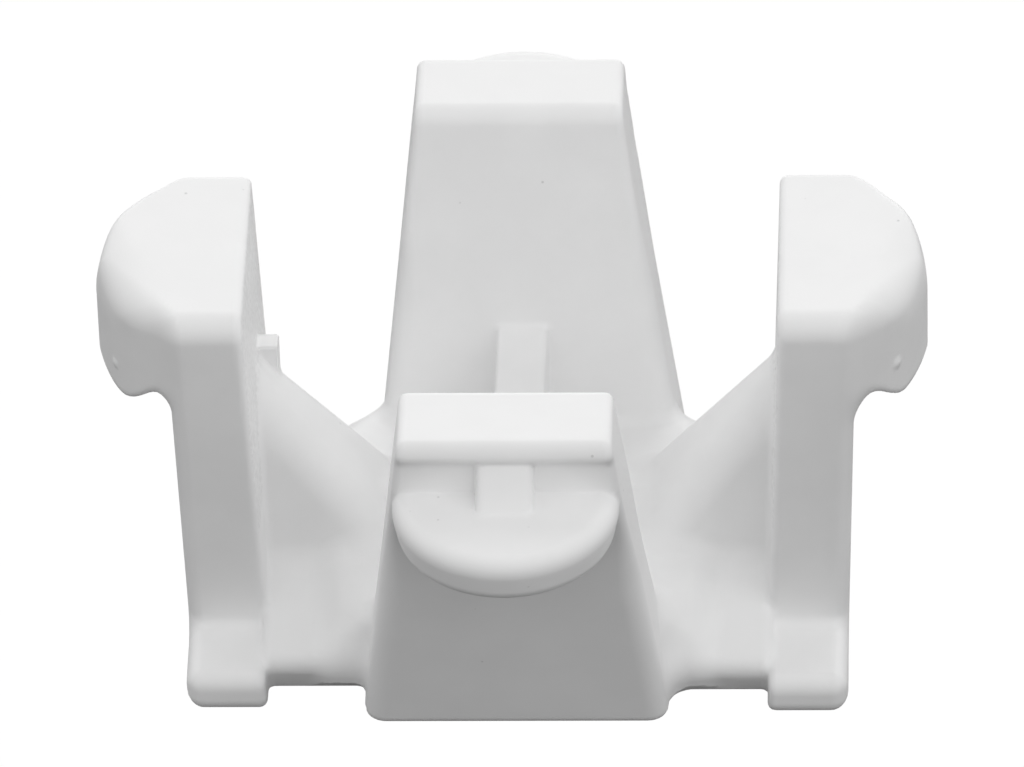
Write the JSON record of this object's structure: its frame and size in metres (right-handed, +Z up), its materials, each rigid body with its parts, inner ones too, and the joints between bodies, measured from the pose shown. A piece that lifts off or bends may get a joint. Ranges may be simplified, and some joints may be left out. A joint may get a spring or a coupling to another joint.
{
  "type": "moulded retaining clip",
  "caption": "White moulded clip: two ledged fingers with half-round ledges and two hooked arms with gussets stand on a cross-shaped base.",
  "frame": {"origin": "centre of the resting face, under the hub", "axes": "+Z up along the fingers; the ledged fingers stand on the Y axis with the front one at -Y; the hooked arms stand on the X axis"},
  "size_m": [0.0406, 0.0414, 0.0206],
  "materials": {
    "nylon": "matte white moulded nylon with a fine grain"
  },
  "bodies": {
    "hub": {"hub": "nylon"},
    "front_finger": {"front_finger": "nylon"},
    "rear_finger": {"rear_finger": "nylon"},
    "left_hook_arm": {"left_hook_arm": "nylon"},
    "right_hook_arm": {"right_hook_arm": "nylon"}
  },
  "joints": [
    {"name": "front_finger_flex", "type": "hinge", "parent": "hub", "child": "front_finger", "pos_m": [0, -0.00804, 0.0098], "axis": [-1, 0, 0], "range_deg": [0, 2.5], "stiffness_Nm_per_rad": 0.2},
    {"name": "rear_finger_flex", "type": "hinge", "parent": "hub", "child": "rear_finger", "pos_m": [0, 0.00804, 0.0098], "axis": [1, 0, 0], "range_deg": [0, 2.5], "stiffness_Nm_per_rad": 0.2},
    {"name": "left_arm_flex", "type": "hinge", "parent": "hub", "child": "left_hook_arm", "pos_m": [-0.00845, 0, 0.0062], "axis": [0, 1, 0], "range_deg": [0, 6], "stiffness_Nm_per_rad": 0.2},
    {"name": "right_arm_flex", "type": "hinge", "parent": "hub", "child": "right_hook_arm", "pos_m": [0.00845, 0, 0.0062], "axis": [0, -1, 0], "range_deg": [0, 6], "stiffness_Nm_per_rad": 0.2}
  ]
}
